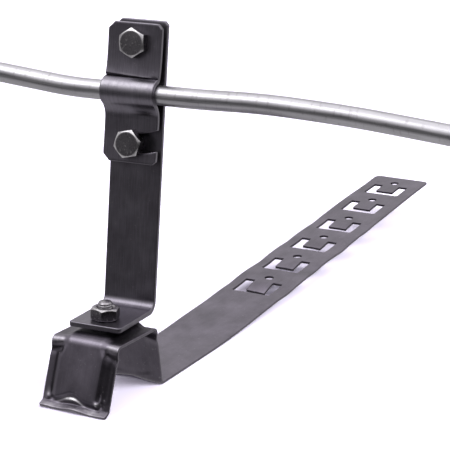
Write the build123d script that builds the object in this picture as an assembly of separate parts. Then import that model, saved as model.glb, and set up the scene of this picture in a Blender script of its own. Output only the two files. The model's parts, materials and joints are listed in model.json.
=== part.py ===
from build123d import *
import math
import os

# Tiled-roof bracket with a swivelling upright and a two-bolt clamp round an 8 mm bar.
# Millimetres, +Z up. The strip runs back along +Y, and the bracket stands on the plane z = 0.
# The model is drawn with y = 0 at the fold between the hat and the strip, and is moved at the
# end so that the origin is the centre of the overall box, on the plane that it stands on.

# Base bracket: one bent strip
STRIP_WIDTH = 30.0
SHEET = 1.2
LIP_TIP = (-42.7, 0.56)           # (y, z) on the middle of the sheet, as are the five below
HOOK = (-39.6, 1.9)
HAT_FRONT = (-32.7, 26.3)
HAT_BACK = (-4.5, 25.3)
FOLD = (0.55, SHEET / 2)
STRIP_LIFT = (55.0, SHEET / 2)
STRIP_END_Y = 295.4
STRIP_RISE = 3.7                  # degrees
HOOK_RADIUS = 1.5
HAT_RADIUS = 2.0
FOLD_RADIUS = 1.8
LIFT_RADIUS = 400.0
END_CORNER = 2.5

# Raised panel pressed into the hat
PANEL_WIDTH = 18.7
PANEL_TOP = 1.5                   # how far it stands up from the hat's top
PANEL_LEG = 1.0                   # how far it stands out from the two legs
PANEL_LOW = 3.4                   # height of its two ends
PANEL_FULL = 7.0                  # height at which it stands out fully

# Bend-up tabs along the strip
TAB_COUNT = 6
TAB_PITCH = 31.1
FIRST_TAB_Y = 125.4               # far end of the first slot
SLOT_WIDTH = 18.7
SLOT_LENGTH = 15.2
SLOT_CORNER = 0.8
TAB_WIDTH = 9.5
TAB_LENGTH = 9.9
TAB_SIDE = -0.6                   # the punching sits slightly to the left of the middle
NAIL_HOLE = 4.3                   # diameter
NAIL_HOLE_BEYOND = 5.1            # past the far end of the slot

# Swivel
SWIVEL_Y = -18.6
SWIVEL_TURN = 3.9                 # degrees, as it is set
SHANK = 5.9                       # M6 bolts
THREAD_BORE = 6.0
SWIVEL_BORE = 6.05
CLEARANCE_BORE = 6.6
HEX_FLATS = 10.0
HEAD_HEIGHT = 4.0
NUT_HEIGHT = 5.0
HEX_CHAMFER = 30.0                # degrees
WASHER_OUTER = 12.0
WASHER_THICK = 1.6
BASE_BOLT_LENGTH = 12.0
BASE_NUT_TURN = 43.0              # degrees

# Upright: an L of thicker plate
UPRIGHT_WIDTH = 22.4
PLATE = 2.0
FOOT_FRONT = 9.4                  # from the swivel axis to the foot's front edge
UPRIGHT_BACK = 21.5               # from the swivel axis to the upright's middle plane, at the foot
UPRIGHT_LENGTH = 115.7            # up the slope from the foot's middle plane
UPRIGHT_LEAN = 4.56               # degrees, against the swivel axis
UPRIGHT_BEND = 4.5                # on the middle of the plate
TOP_CHAMFER = 2.5

# Clamp
BAR_HEIGHT = 87.1                 # up the slope from the foot's middle plane
BAR_DIAMETER = 8.0
BAR_FIT = 0.1                     # radial room round the bar
CLAMP_WIDTH = 23.8
CLAMP_LENGTH = 55.2
CLAMP_GAP = 3.0                   # between the upright and the clamp plate's flat parts
CLAMP_CHAMFER = 2.8
HUMP_BLEND = 1.6
BOLT_PITCH = 39.6
CLAMP_BOLT_LENGTH = 16.0
UPPER_HEAD_TURN = 34.0            # degrees
LOWER_HEAD_TURN = 13.0
SWING_SLOT = 7.8
LOCK_WASHER_OUTER = 11.4
LOCK_WASHER_CUT = 1.0

# Bar route beside the clamp: (along the clamp, back, up) from the middle of the clamp
BAR_POINTS = [
    (-235.0, 2.4, 11.6),
    (-160.0, 2.6, 9.2),
    (-95.0, 1.8, 5.6),
    (-28.0, 0.0, 0.0),
    (28.0, 0.0, 0.0),
    (55.0, -0.1, 0.9),
    (90.0, -0.6, -0.3),
    (130.0, -1.8, -3.4),
    (180.0, -3.0, -7.6),
    (235.0, -3.6, -12.0),
]
BAR_BEND_REACH = 0.45             # share of the shorter run that a bend takes up
BAR_CLAMP_REACH = 7.5             # shortest such reach, beside the clamp
BAR_END_CHAMFER = 0.6


def on_leg(top, foot, height):
    """The y of a leg's middle at a height, between its top and foot corners."""
    share = (height - foot[1]) / (top[1] - foot[1])
    return foot[0] + share * (top[0] - foot[0])


def sheet_along(path, thickness, width):
    """A sheet of a width across X, following a path drawn as (y, z)."""
    face = trace(path, line_width=thickness)
    return extrude(Plane.YZ * face, width / 2, both=True)


def strip_end():
    """The (y, z) of the strip's far end on the middle of the sheet."""
    reach = STRIP_END_Y - STRIP_LIFT[0]
    return (STRIP_END_Y, STRIP_LIFT[1] + reach * math.tan(math.radians(STRIP_RISE)))


def panel_corners():
    """The raised panel's middle line as (y, z), from the front leg over the hat to the back leg."""
    front_low = (on_leg(HAT_FRONT, HOOK, PANEL_LOW), PANEL_LOW)
    front_full = (on_leg(HAT_FRONT, HOOK, PANEL_FULL) - PANEL_LEG, PANEL_FULL)
    top_front = (HAT_FRONT[0] - PANEL_LEG, HAT_FRONT[1] + PANEL_TOP)
    top_back = (HAT_BACK[0] + PANEL_LEG, HAT_BACK[1] + PANEL_TOP)
    back_full = (on_leg(HAT_BACK, FOLD, PANEL_FULL) + PANEL_LEG, PANEL_FULL)
    back_low = (on_leg(HAT_BACK, FOLD, PANEL_LOW), PANEL_LOW)
    return [front_low, front_full, top_front, top_back, back_full, back_low]


def pressed_strip():
    """The bent strip with the panel pressed out of its hat."""
    corners = [LIP_TIP, HOOK, HAT_FRONT, HAT_BACK, FOLD, STRIP_LIFT, strip_end()]
    radii = [HOOK_RADIUS, HAT_RADIUS, HAT_RADIUS, FOLD_RADIUS, LIFT_RADIUS]
    strip = sheet_along(FilletPolyline(*corners, radius=radii), SHEET, STRIP_WIDTH)

    panel_line = panel_corners()
    low_line = [panel_line[0], HAT_FRONT, HAT_BACK, panel_line[-1]]
    low_path = FilletPolyline(*low_line, radius=HAT_RADIUS)
    high_path = FilletPolyline(*panel_line, radius=HAT_RADIUS)
    inner_width = PANEL_WIDTH - 2 * SHEET
    between = Plane.YZ * make_face(Wire(low_path.edges() + high_path.edges()))
    side_walls = extrude(between, PANEL_WIDTH / 2, both=True) - extrude(between, inner_width / 2, both=True)
    opening = sheet_along(low_path, 1.5 * SHEET, inner_width)
    panel = sheet_along(high_path, SHEET, PANEL_WIDTH)
    return strip - opening + side_walls + panel


def strip_plane(y):
    """The plane of the rising strip's middle, above a place along it."""
    rise = math.radians(STRIP_RISE)
    z = STRIP_LIFT[1] + (y - STRIP_LIFT[0]) * math.tan(rise)
    return Plane(origin=(TAB_SIDE, y, z), x_dir=(1, 0, 0), z_dir=(0, -math.sin(rise), math.cos(rise)))


def tab_cut():
    """A U-shaped cut that leaves a tab, and the nail hole beyond it, about the slot's far end."""
    slot = Pos(0, -SLOT_LENGTH / 2) * RectangleRounded(SLOT_WIDTH, SLOT_LENGTH, SLOT_CORNER)
    tab = Pos(0, -TAB_LENGTH / 2) * Rectangle(TAB_WIDTH, TAB_LENGTH)
    hole = Pos(0, NAIL_HOLE_BEYOND) * Circle(NAIL_HOLE / 2)
    return extrude(slot - tab + hole, SHEET, both=True)


def base_bracket():
    bracket = pressed_strip()
    for number in range(TAB_COUNT):
        plane = strip_plane(FIRST_TAB_Y + number * TAB_PITCH)
        bracket -= plane.location * tab_cut()
    bracket -= SWIVEL.location * Cylinder(CLEARANCE_BORE / 2, 4 * SHEET)
    end_edges = bracket.edges().filter_by(lambda edge: edge.center().Y > STRIP_END_Y - 1)
    upright_edges = end_edges.filter_by(lambda edge: abs(edge.length - SHEET) < 0.1)
    return fillet(upright_edges, END_CORNER)


def hex_body(height, chamfer_both_ends):
    """A hexagon standing on z = 0, its corners chamfered at the top, or at both ends."""
    corner = HEX_FLATS / 2 / math.cos(math.radians(30))
    drop = (corner - HEX_FLATS / 2 + 0.2) * math.tan(math.radians(HEX_CHAMFER))
    body = extrude(RegularPolygon(HEX_FLATS / 2, 6, major_radius=False), height)
    bottom_radius = HEX_FLATS / 2 - 0.2 if chamfer_both_ends else corner
    bottom_drop = drop if chamfer_both_ends else 0.0
    outline = [
        (0, 0),
        (bottom_radius, 0),
        (corner, bottom_drop),
        (corner, height - drop),
        (HEX_FLATS / 2 - 0.2, height),
        (0, height),
    ]
    if not chamfer_both_ends:
        outline.pop(1)
    turned = revolve(Plane.XZ * make_face(Polyline(*outline, close=True)), Axis.Z)
    return body & turned


def bolt(length, turn):
    """A hex bolt, its head above z = 0 and its shank below."""
    shank = Pos(0, 0, -length / 2) * Cylinder(SHANK / 2, length)
    tip = shank.edges().sort_by(Axis.Z)[0]
    return Rot(0, 0, turn) * hex_body(HEAD_HEIGHT, False) + chamfer(tip, 0.6)


def nut(turn):
    """A hex nut standing on z = 0."""
    bore = Pos(0, 0, NUT_HEIGHT / 2) * Cylinder(THREAD_BORE / 2, 2 * NUT_HEIGHT)
    return Rot(0, 0, turn) * hex_body(NUT_HEIGHT, True) - bore


def flat_washer():
    ring = Circle(WASHER_OUTER / 2) - Circle(CLEARANCE_BORE / 2)
    return extrude(ring, WASHER_THICK)


def lock_washer():
    """A split spring washer standing on z = 0, its cut slanted."""
    ring = extrude(Circle(LOCK_WASHER_OUTER / 2) - Circle(CLEARANCE_BORE / 2), WASHER_THICK)
    cut = Pos(LOCK_WASHER_OUTER / 2, 0, WASHER_THICK / 2) * Rot(20, 0, 0) * Box(
        LOCK_WASHER_OUTER, LOCK_WASHER_CUT, 3 * WASHER_THICK
    )
    return ring - cut


def upright_plane():
    """The upright's front face at the bar's height: x across, y up the slope, z to the front."""
    lean = math.radians(UPRIGHT_LEAN)
    y = UPRIGHT_BACK + BAR_HEIGHT * math.sin(lean) - PLATE / 2 * math.cos(lean)
    z = WASHER_THICK + PLATE / 2 + BAR_HEIGHT * math.cos(lean) + PLATE / 2 * math.sin(lean)
    return Plane(origin=(0, y, z), x_dir=(1, 0, 0), z_dir=(0, -math.cos(lean), math.sin(lean)))


def upright():
    lean = math.radians(UPRIGHT_LEAN)
    level = WASHER_THICK + PLATE / 2
    corners = [
        (-FOOT_FRONT, level),
        (UPRIGHT_BACK, level),
        (UPRIGHT_BACK + UPRIGHT_LENGTH * math.sin(lean), level + UPRIGHT_LENGTH * math.cos(lean)),
    ]
    body = sheet_along(FilletPolyline(*corners, radius=UPRIGHT_BEND), PLATE, UPRIGHT_WIDTH)
    top_edges = body.edges().filter_by(lambda edge: edge.center().Z > level + UPRIGHT_LENGTH - 3)
    body = chamfer(top_edges.filter_by(lambda edge: abs(edge.length - PLATE) < 0.1), TOP_CHAMFER)
    body -= Cylinder(SWIVEL_BORE / 2, 4 * PLATE + 2 * WASHER_THICK)
    for side in (-1, 1):
        body -= CLAMP.location * Pos(0, side * BOLT_PITCH / 2, 0) * Cylinder(CLEARANCE_BORE / 2, 4 * PLATE)
    return body


def clamp_outline():
    """The clamp plate's edge profile as (up the slope, out from the upright)."""
    middle = CLAMP_GAP + PLATE / 2
    bar_out = BAR_DIAMETER / 2 + BAR_FIT
    hump = BAR_DIAMETER / 2 + BAR_FIT + PLATE / 2
    low = bar_out - middle
    reach = math.sqrt((hump + HUMP_BLEND) ** 2 - (HUMP_BLEND - low) ** 2)
    share = hump / (hump + HUMP_BLEND)
    meet = (reach * share, bar_out + (HUMP_BLEND - low) * share)
    half = CLAMP_LENGTH / 2
    lower = Line((-half, middle), (-reach, middle))
    upper = Line((reach, middle), (half, middle))
    over = ThreePointArc((-meet[0], meet[1]), (0, bar_out + hump), meet)
    lower_blend = TangentArc((-reach, middle), (-meet[0], meet[1]), tangent=(1, 0))
    upper_blend = TangentArc((reach, middle), meet, tangent=(-1, 0))
    return Wire([lower, lower_blend, over, upper_blend, upper])


def swing_slot():
    """A slot that follows a circle about the upper bolt and leaves by the plate's right edge."""
    outer = Circle(BOLT_PITCH + SWING_SLOT / 2)
    inner = Circle(BOLT_PITCH - SWING_SLOT / 2)
    right_half = Pos(BOLT_PITCH, -BOLT_PITCH) * Rectangle(2 * BOLT_PITCH, 2 * BOLT_PITCH)
    ring = (outer - inner) & right_half
    return Pos(0, BOLT_PITCH / 2) * ring + Pos(0, -BOLT_PITCH / 2) * Circle(SWING_SLOT / 2)


def clamp_plate():
    """The clamp plate, drawn on the upright's front face."""
    face = trace(clamp_outline(), line_width=PLATE)
    sheet = extrude(Plane.YZ * face, CLAMP_WIDTH / 2, both=True)
    reach = CLAMP_GAP + BAR_DIAMETER + 2 * PLATE
    outline = extrude(chamfered_rectangle(), reach)
    sheet &= outline
    sheet -= Pos(0, BOLT_PITCH / 2, reach / 2) * Cylinder(CLEARANCE_BORE / 2, reach)
    flange_only = Pos(0, -CLAMP_LENGTH / 2, 0) * Box(2 * CLAMP_WIDTH, CLAMP_LENGTH, 2 * reach)
    return sheet - (extrude(swing_slot(), reach) & flange_only)


def chamfered_rectangle():
    sheet = Rectangle(CLAMP_WIDTH, CLAMP_LENGTH)
    return chamfer(sheet.vertices(), CLAMP_CHAMFER)


def bar_radii(points):
    """One bend radius for each inner point of the bar's route."""
    vectors = [Vector(*point) for point in points]
    radii = []
    for before, here, after in zip(vectors, vectors[1:], vectors[2:]):
        turn = math.radians((here - before).get_angle(after - here))
        reach = BAR_BEND_REACH * min((here - before).length, (after - here).length)
        beside_clamp = min(abs(before.X), abs(after.X)) == abs(here.X)
        if beside_clamp:
            reach = BAR_CLAMP_REACH
        radii.append(reach / math.tan(turn / 2))
    return radii


def round_bar():
    """The bar, drawn about the middle of the clamp: x along it, y back, z up."""
    route = FilletPolyline(*BAR_POINTS, radius=bar_radii(BAR_POINTS))
    start = Plane(origin=route @ 0, z_dir=route % 0)
    bar = sweep(start * Circle(BAR_DIAMETER / 2), path=route)
    ends = bar.edges().filter_by(GeomType.CIRCLE).sort_by(Axis.X)
    return chamfer([ends[0], ends[-1]], BAR_END_CHAMFER)


def swivel_plane():
    """The swivel axis on the raised panel's top: z up the axis, x across the foot."""
    front, back = panel_corners()[2:4]
    tilt = math.atan2(front[1] - back[1], back[0] - front[0])
    top = back[1] + (back[0] - SWIVEL_Y) * math.tan(tilt) + (SHEET / 2) / math.cos(tilt)
    plain = Plane(origin=(0, SWIVEL_Y, top), x_dir=(1, 0, 0), z_dir=(0, math.sin(tilt), math.cos(tilt)))
    return Plane(plain.location * Rot(0, 0, SWIVEL_TURN))


def assembly():
    """Every node by name, where it stands before the origin is moved."""
    upper = CLAMP.location * Pos(0, BOLT_PITCH / 2, 0)
    lower = CLAMP.location * Pos(0, -BOLT_PITCH / 2, 0)
    head_seat = Pos(0, 0, CLAMP_GAP + PLATE)
    behind = Pos(0, 0, -PLATE) * Rot(180, 0, 0)
    behind_washer = Pos(0, 0, -PLATE - WASHER_THICK) * Rot(180, 0, 0)
    bar_middle = CLAMP.location * Pos(0, 0, BAR_DIAMETER / 2 + BAR_FIT)
    nut_seat = Pos(0, 0, WASHER_THICK + PLATE)
    place = SWIVEL.location
    return {
        "base_bracket": base_bracket(),
        "base_bolt": place * Pos(0, 0, -SHEET) * Rot(180, 0, 0) * bolt(BASE_BOLT_LENGTH, 0),
        "swivel_washer": place * flat_washer(),
        "upright": place * upright(),
        "base_nut": place * nut_seat * nut(BASE_NUT_TURN),
        "clamp_plate": place * CLAMP.location * clamp_plate(),
        "upper_bolt": place * upper * head_seat * bolt(CLAMP_BOLT_LENGTH, UPPER_HEAD_TURN),
        "lower_bolt": place * lower * head_seat * bolt(CLAMP_BOLT_LENGTH, LOWER_HEAD_TURN),
        "upper_lock_washer": place * upper * behind * lock_washer(),
        "lower_lock_washer": place * lower * behind * lock_washer(),
        "upper_nut": place * upper * behind_washer * nut(0),
        "lower_nut": place * lower * behind_washer * nut(20),
        "round_bar": place * Location(bar_middle.position) * round_bar(),
    }


SWIVEL = swivel_plane()
CLAMP = upright_plane()

if __name__ == "__main__":
    os.makedirs("parts", exist_ok=True)
    nodes = {name: shape.solid() for name, shape in assembly().items()}
    box = Compound(list(nodes.values())).bounding_box()
    to_origin = Pos(-box.center().X, -box.center().Y, -box.min.Z)
    for name, solid in nodes.items():
        export_step(solid.moved(to_origin), f"parts/{name}.step")
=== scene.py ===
"""Looks for the tiled-roof bracket: a bent strip, a swivelling upright and a clamped round bar.

Shapes are drawn in millimetres in the frame of the joint that they stand on, then placed in the
frame's metres. Sheet pieces are drawn flat, as (across, along), and bent along a path.
"""
import json
import math

import bpy
import numpy as np
from mathutils import Matrix, Vector
from mathutils.geometry import delaunay_2d_cdt


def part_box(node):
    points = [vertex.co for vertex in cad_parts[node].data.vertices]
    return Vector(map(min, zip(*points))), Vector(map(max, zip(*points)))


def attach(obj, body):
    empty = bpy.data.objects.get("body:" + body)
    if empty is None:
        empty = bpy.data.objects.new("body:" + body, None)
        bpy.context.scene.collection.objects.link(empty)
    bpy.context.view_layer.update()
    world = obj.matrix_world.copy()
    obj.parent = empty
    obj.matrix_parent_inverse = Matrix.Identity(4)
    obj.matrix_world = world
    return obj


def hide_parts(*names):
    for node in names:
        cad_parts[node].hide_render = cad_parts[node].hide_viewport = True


MM = 0.001

# Base bracket
STRIP_WIDTH = 30.0
SHEET = 1.2
LIP_TIP = (-42.7, 0.56)           # (y, z) on the middle of the sheet, as are the five below
HOOK = (-39.6, 1.9)
HAT_FRONT = (-32.7, 26.3)
HAT_BACK = (-4.5, 25.3)
FOLD = (0.55, SHEET / 2)
STRIP_LIFT = (55.0, SHEET / 2)
STRIP_END_Y = 295.4
STRIP_RISE = 3.7                  # degrees
STRIP_RADII = (1.5, 2.0, 2.0, 1.8, 400.0)
END_CORNERS = (1.8, 3.0)          # right, left
STRIP_EDGE = 0.22
PANEL_WIDTH = 18.7
PANEL_TOP = 1.5                   # how far the panel stands up from the hat's top
PANEL_LEG = 1.0                   # how far it stands out from the front leg
PANEL_BACK_LEG = 0.25             # and from the back leg
PANEL_LOW = 3.4                   # height of its ends
PANEL_FOOT = 24.0                 # width between the feet of its walls, down the legs
PANEL_WALL = 2.6                  # width of its walls at the bends
PANEL_LEG_WALL = 3.0              # and down the legs
PANEL_END = 2.2                   # and at its ends
LEG_LEAN = 0.9                    # how far the front leg drifts to the left on its way down

# Bend-up tabs
TAB_COUNT = 6
TAB_PITCH = 31.1
FIRST_TAB_Y = 125.4               # far end of the first slot
SLOT_WIDTH = 18.7
SLOT_LENGTH = 15.2
TAB_WIDTH = 9.5
TAB_LENGTH = 9.9
TAB_SIDE = -0.6
NAIL_HOLE = 4.3
NAIL_HOLE_BEYOND = 5.1
TAB_DROP = (1.5, 0.6, 0.4, 0.5, 0.2, 0.2)      # how far each tab's free end is bent down

# Swivel and M6 fasteners
SWIVEL_TURN = 3.9                 # degrees
SHANK = 5.9
THREAD_PITCH = 1.0
THREAD_DEPTH = 0.45
BOLT_HOLE = 6.6
HEX_FLATS = 10.4
HEX_FACE = 4.75                   # radius of a head's flat top
HEX_CHAMFER = 30.0                # degrees
HEAD_HEIGHT = 4.0
NUT_HEIGHT = 5.0
WASHER_OUTER = 12.0
WASHER_THICK = 1.6
LOCK_WASHER_OUTER = 11.4
LOCK_WASHER_GAP = 8.0             # degrees
BASE_BOLT_LENGTH = 12.0
CLAMP_BOLT_LENGTH = 16.0
BASE_NUT_TURN = 43.0              # degrees
UPPER_HEAD_TURN = 34.0
LOWER_HEAD_TURN = 13.0

# Upright
UPRIGHT_WIDTH = 22.4
PLATE = 2.0
FOOT_FRONT = 9.4
UPRIGHT_BACK = 21.5
UPRIGHT_LENGTH = 115.7
UPRIGHT_LEAN = 4.56               # degrees
UPRIGHT_BEND = 4.5
TOP_CHAMFERS = (1.4, 2.5)         # right, left
FOOT_CORNERS = (1.2, 1.8)         # left, right
PLATE_EDGE = 0.3

# Clamp
BAR_HEIGHT = 87.1
BAR_DIAMETER = 8.0
BAR_FIT = 0.1
CLAMP_WIDTH = 23.8
CLAMP_LENGTH = 55.2
CLAMP_GAP = 3.0
CLAMP_CHAMFER = 2.8
CLAMP_RIGHT_CUTS = (1.3, 1.9)     # chamfers, lower and upper
HUMP_BLENDS = (8.5, 1.0)          # below and above the hump
HUMP_RAISED = 0.4                 # how far the hump sits above the bar's middle
HUMP_TOP_CREASE = 6.9             # height of its upper crease above the bar
BOLT_PITCH = 39.6
SWING_SLOT = 7.8

# Bar route beside the clamp: (along the clamp, back, up) from the middle of the clamp
BAR_POINTS = (
    (-235.0, 2.4, 11.6),
    (-160.0, 2.6, 9.2),
    (-95.0, 1.8, 5.6),
    (-28.0, 0.0, 0.0),
    (28.0, 0.0, 0.0),
    (55.0, -0.1, 0.9),
    (90.0, -0.6, -0.3),
    (130.0, -1.8, -3.4),
    (180.0, -3.0, -7.6),
    (235.0, -3.6, -12.0),
)
BAR_BEND_REACH = 0.45
BAR_CLAMP_REACH = 7.5
BAR_END_CHAMFER = 0.6

# Vertex values for a sheet's back, its outer edge and the edges of its holes: the outer edge is made paler
# as scuffed, and below zero is painted shade, darkening the back and the hole edges
UNDERSIDE_SHADE = -0.35
OUTLINE_WEAR = 0.45
CUTOUT_SHADE = -0.7

# Studio, as radiance
WORLD_RIGHT = 0.03
WORLD_FRONT = 0.14
WORLD_BACK = 0.64
WORLD_LEFT = 0.55
WORLD_ABOVE_FRONT = 1.35
WORLD_ABOVE_BACK = 1.0
WORLD_TOP = 1.9
WORLD_BELOW = 0.66

# Stage, lights and camera, in metres
FLOOR_REACH = 40.0
BACKDROP_RADIUS = 35.0
BACKDROP_HEIGHT = 40.0
BACKDROP_SIDES = 48
KEY_PLACE = (-0.55, -0.66, 1.12)
KEY_TARGET = (0.0, -0.1, 0.08)
KEY_SIZE = (0.9, 0.6)
KEY_POWER = 4.6                   # watts
FILL_FROM = (0.75, 0.35, 0.50)
FILL_STRENGTH = 4.4
FILL_SPREAD = 38.0                # degrees
CAMERA_PLACE = (0.3355, -0.5669, 0.2565)       # from the strip's fold
CAMERA_TURNS = (-27.29, 16.2, 0.51)            # azimuth, elevation and roll in degrees
CAMERA_LENS = 138.2               # millimetres


# ---------------------------------------------------------------- frames

def frame_matrix(origin, x_axis, z_axis):
    """A placement in metres from an origin and two axes at right angles."""
    x = Vector(x_axis).normalized()
    z = Vector(z_axis).normalized()
    y = z.cross(x)
    turn = Matrix((x, y, z)).transposed().to_4x4()
    return Matrix.Translation(Vector(origin)) @ turn @ Matrix.Scale(MM, 4)


def bracket_frame():
    """Y runs back along the strip from the fold below the hat's back leg, on the ground."""
    low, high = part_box("base_bracket")
    origin = ((low.x + high.x) / 2, high.y - STRIP_END_Y * MM, 0.0)
    return frame_matrix(origin, (1, 0, 0), (0, 0, 1))


def swivel_frame(joints):
    """Z up the swivel's axis from the raised panel's top, X across the foot."""
    axis = Vector(joints["upright_swivel"]["axis"])
    across = Matrix.Rotation(math.radians(SWIVEL_TURN), 3, axis) @ Vector((1, 0, 0))
    return frame_matrix(joints["upright_swivel"]["pos_m"], across, axis)


def clamp_frame(joints):
    """X along the clamped bar, Y up the upright, Z out of its front face, midway between the bolts."""
    upper = Vector(joints["upper_bolt_turn"]["pos_m"])
    lower = Vector(joints["lower_bolt_turn"]["pos_m"])
    return frame_matrix((upper + lower) / 2, joints["bar_slide"]["axis"], joints["clamp_open"]["axis"])


# ---------------------------------------------------------------- paths and outlines

def unit(vector):
    return vector / np.linalg.norm(vector)


def corner_arc(before, here, after, radius, step):
    """Points and headings of the arc that rounds one corner of a path."""
    back = unit(before - here)
    ahead = unit(after - here)
    half = math.acos(np.clip(back @ ahead, -1, 1)) / 2
    centre = here + unit(back + ahead) * radius / math.sin(half)
    first = unit(here + back * radius / math.tan(half) - centre)
    turn = math.pi - 2 * half
    count = max(2, math.ceil(turn * radius / step))
    angles = np.linspace(0, turn, count + 1)[:, None]
    points = centre + radius * (first * np.cos(angles) - back * np.sin(angles))
    return points, -back * np.cos(angles) - first * np.sin(angles)


class Path:
    """An open path of straights and arcs, read by the distance along it."""

    def __init__(self, points, headings):
        self.points = np.array(points)
        self.headings = np.array(headings)
        gaps = np.linalg.norm(np.diff(self.points, axis=0), axis=1)
        self.distances = np.concatenate([[0.0], np.cumsum(gaps)])
        self.length = self.distances[-1]

    def read(self, distance):
        columns = range(self.points.shape[1])
        places = [np.interp(distance, self.distances, self.points[:, i]) for i in columns]
        ways = [np.interp(distance, self.distances, self.headings[:, i]) for i in columns]
        ways = np.stack(ways, -1)
        return np.stack(places, -1), ways / np.linalg.norm(ways, axis=-1, keepdims=True)

    def nearest(self, place):
        """The number of the path's point that is nearest to a place."""
        return int(np.argmin(np.linalg.norm(self.points - np.array(place), axis=1)))

    def beside(self, distance, offset):
        """Places at an offset to the left of the path, as rows of its two coordinates."""
        place, way = self.read(distance)
        return place[:, 0] - way[:, 1] * offset, place[:, 1] + way[:, 0] * offset


def filleted_path(corners, radii, step=0.1):
    corners = [np.array(corner, float) for corner in corners]
    first = unit(corners[1] - corners[0])
    points, headings = [corners[0]], [first]
    for before, here, after, radius in zip(corners, corners[1:], corners[2:], radii):
        arc, ways = corner_arc(before, here, after, radius, step)
        points.extend(arc)
        headings.extend(ways)
    points.append(corners[-1])
    headings.append(unit(corners[-1] - corners[-2]))
    return Path(points, headings)


def rounded_loop(corners, radii, step=0.3):
    """A closed outline with each corner rounded, as an array of (across, along)."""
    corners = [np.array(corner, float) for corner in corners]
    points = []
    for i, here in enumerate(corners):
        after = corners[(i + 1) % len(corners)]
        arc, _ = corner_arc(corners[i - 1], here, after, radii[i], step)
        points.extend(arc)
    return np.array(points)


def round_angles(count):
    return np.arange(count) * 2 * math.pi / count


def circle_loop(centre, radius, count=32):
    angles = round_angles(count)
    return np.array(centre) + radius * np.stack([np.cos(angles), np.sin(angles)], -1)


def grid_points(half, count, rows):
    """A grid of (across, along) with a count of columns between two sides."""
    return np.stack(np.meshgrid(np.linspace(-half, half, count), rows), -1).reshape(-1, 2)


def densify(loop, step_at):
    """The same outline with its long straights split into steps of about step_at(place)."""
    points = []
    for here, after in zip(loop, np.roll(loop, -1, axis=0)):
        gap = np.linalg.norm(after - here)
        count = max(1, math.ceil(gap / step_at((here + after) / 2)))
        for share in np.arange(count) / count:
            points.append(here + (after - here) * share)
    return np.array(points)


def signed_area(loop):
    x, y = loop.T
    return 0.5 * np.sum(x * np.roll(y, -1) - y * np.roll(x, -1))


def inset(loop, distance):
    """The outline moved towards the material, which is on its left."""
    ahead = np.roll(loop, -1, axis=0) - loop
    ahead /= np.linalg.norm(ahead, axis=1, keepdims=True)
    left = np.stack([-ahead[:, 1], ahead[:, 0]], -1)
    before = np.roll(left, 1, axis=0)
    share = 1 + np.sum(left * before, axis=1, keepdims=True)
    return loop + distance * (left + before) / np.maximum(share, 0.4)


def inside(points, loops):
    """Whether each point is inside an odd number of the outlines."""
    result = np.zeros(len(points), bool)
    x, y = points[:, 0:1], points[:, 1:2]
    for loop in loops:
        ahead = np.roll(loop, -1, axis=0)
        crosses = (loop[:, 1] > y) != (ahead[:, 1] > y)
        rise = np.where(ahead[:, 1] == loop[:, 1], 1e-12, ahead[:, 1] - loop[:, 1])
        at = loop[:, 0] + (y - loop[:, 1]) * (ahead[:, 0] - loop[:, 0]) / rise
        result ^= (np.sum(crosses & (x < at), axis=1) % 2).astype(bool)
    return result


def away_from(points, loops, gap):
    """Whether each point keeps a distance from every outline."""
    keep = np.ones(len(points), bool)
    for loop in loops:
        low, high = loop.min(0) - gap, loop.max(0) + gap
        near = np.flatnonzero(np.all((points > low) & (points < high), axis=1) & keep)
        for chunk in np.array_split(near, max(1, len(near) // 2000)):
            offsets = points[chunk, None, :] - loop[None, :, :]
            keep[chunk] &= np.min(np.sum(offsets**2, axis=2), axis=1) > gap**2
    return keep


# ---------------------------------------------------------------- meshes

def put_in_scene(name, data):
    thing = bpy.data.objects.new(name, data)
    bpy.context.scene.collection.objects.link(thing)
    return thing


def add_mesh(name, vertices, faces, place, uvs, wear_and_painted_light):
    """A smooth mesh in the row's frame, with a UV map in metres and, at each vertex, a value that makes the
    colour paler above zero, for scuffed edges and painted highlights, and darker below zero, for painted
    shade.
    """
    mesh = bpy.data.meshes.new(name)
    mesh.from_pydata(vertices.tolist(), [], faces)
    mesh.transform(place)
    corners = np.zeros(len(mesh.loops), np.int32)
    mesh.loops.foreach_get("vertex_index", corners)
    layer = mesh.uv_layers.new(name="UVMap")
    layer.uv.foreach_set("vector", (uvs[corners] * MM).astype(np.float32).ravel())
    attribute = mesh.attributes.new("wear_and_painted_light", "FLOAT", "POINT")
    attribute.data.foreach_set("value", wear_and_painted_light.astype(np.float32))
    mesh.shade_smooth()
    mesh.validate()
    piece = put_in_scene(name, mesh)
    normals = piece.modifiers.new("face weighted normals", "WEIGHTED_NORMAL")
    normals.mode = "FACE_AREA"
    normals.weight = 80
    return piece


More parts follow.
